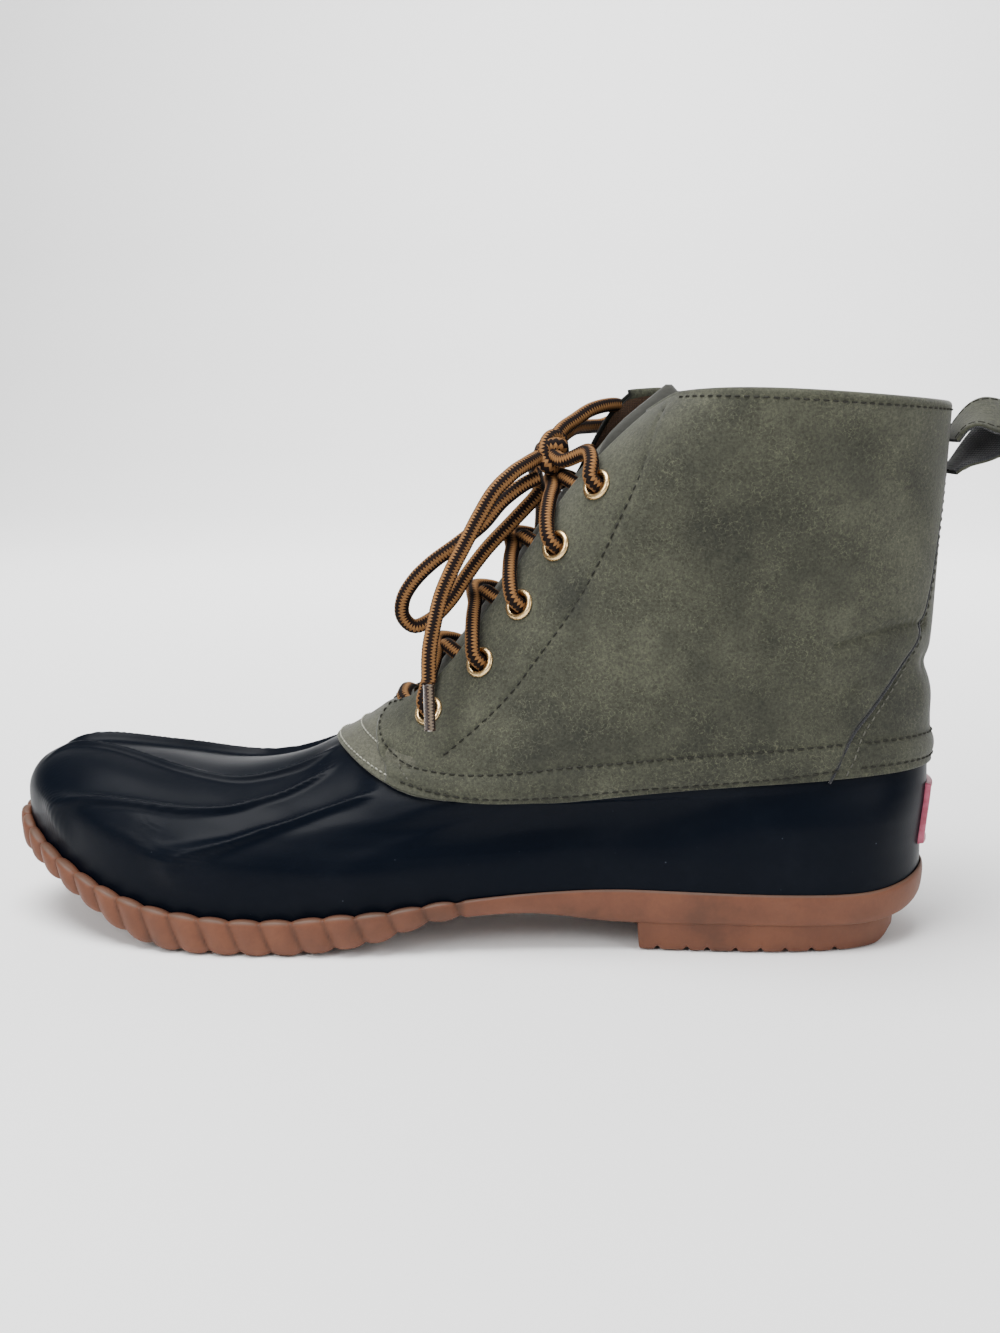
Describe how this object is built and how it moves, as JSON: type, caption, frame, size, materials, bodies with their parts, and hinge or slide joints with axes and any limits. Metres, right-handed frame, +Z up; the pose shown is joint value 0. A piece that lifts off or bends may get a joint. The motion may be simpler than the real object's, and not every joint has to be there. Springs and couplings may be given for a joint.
{
  "type": "duck boot",
  "caption": "Left lace-up duck boot: moulded rubber shell on a notched gum sole, leather ankle upper with a laced throat, pull loop and tied bow.",
  "frame": {"origin": "on the flat underside of the heel block, 55 mm forward of the back of the heel, on the sole's middle line", "axes": "+X from toe to heel, +Y towards the inner side of the foot, +Z up"},
  "size_m": [0.3092, 0.0987, 0.1628],
  "materials": {
    "gum_rubber": "matt terracotta gum rubber",
    "shell_rubber": "satin navy-black moulded rubber",
    "nubuck": "mottled grey-olive nubuck",
    "lining": "brown textile",
    "label_rubber": "dark red, bare",
    "eyelet_metal": "pale gold plate",
    "lace_braid": "tan and dark brown braid",
    "lace_tip": "clear lace tip"
  },
  "bodies": {
    "root": {"sole": "gum_rubber", "shell": "shell_rubber", "upper": "nubuck", "tongue": "nubuck", "insole": "lining", "heel_label": "label_rubber", "pull_loop": "nubuck", "eyelet_outer_1": "eyelet_metal", "eyelet_inner_1": "eyelet_metal", "eyelet_outer_2": "eyelet_metal", "eyelet_inner_2": "eyelet_metal", "eyelet_outer_3": "eyelet_metal", "eyelet_inner_3": "eyelet_metal", "eyelet_outer_4": "eyelet_metal", "eyelet_inner_4": "eyelet_metal", "eyelet_outer_5": "eyelet_metal", "eyelet_inner_5": "eyelet_metal", "lace_crossing_1": "lace_braid", "lace_crossing_2": "lace_braid", "lace_crossing_3": "lace_braid", "lace_crossing_4": "lace_braid", "lace_knot": "lace_braid", "lace_loop_near": "lace_braid", "lace_loop_far": "lace_braid", "lace_end_near": "lace_braid", "lace_end_far": "lace_braid", "lace_tip_near": "lace_tip", "lace_tip_far": "lace_tip"}
  },
  "joints": []
}
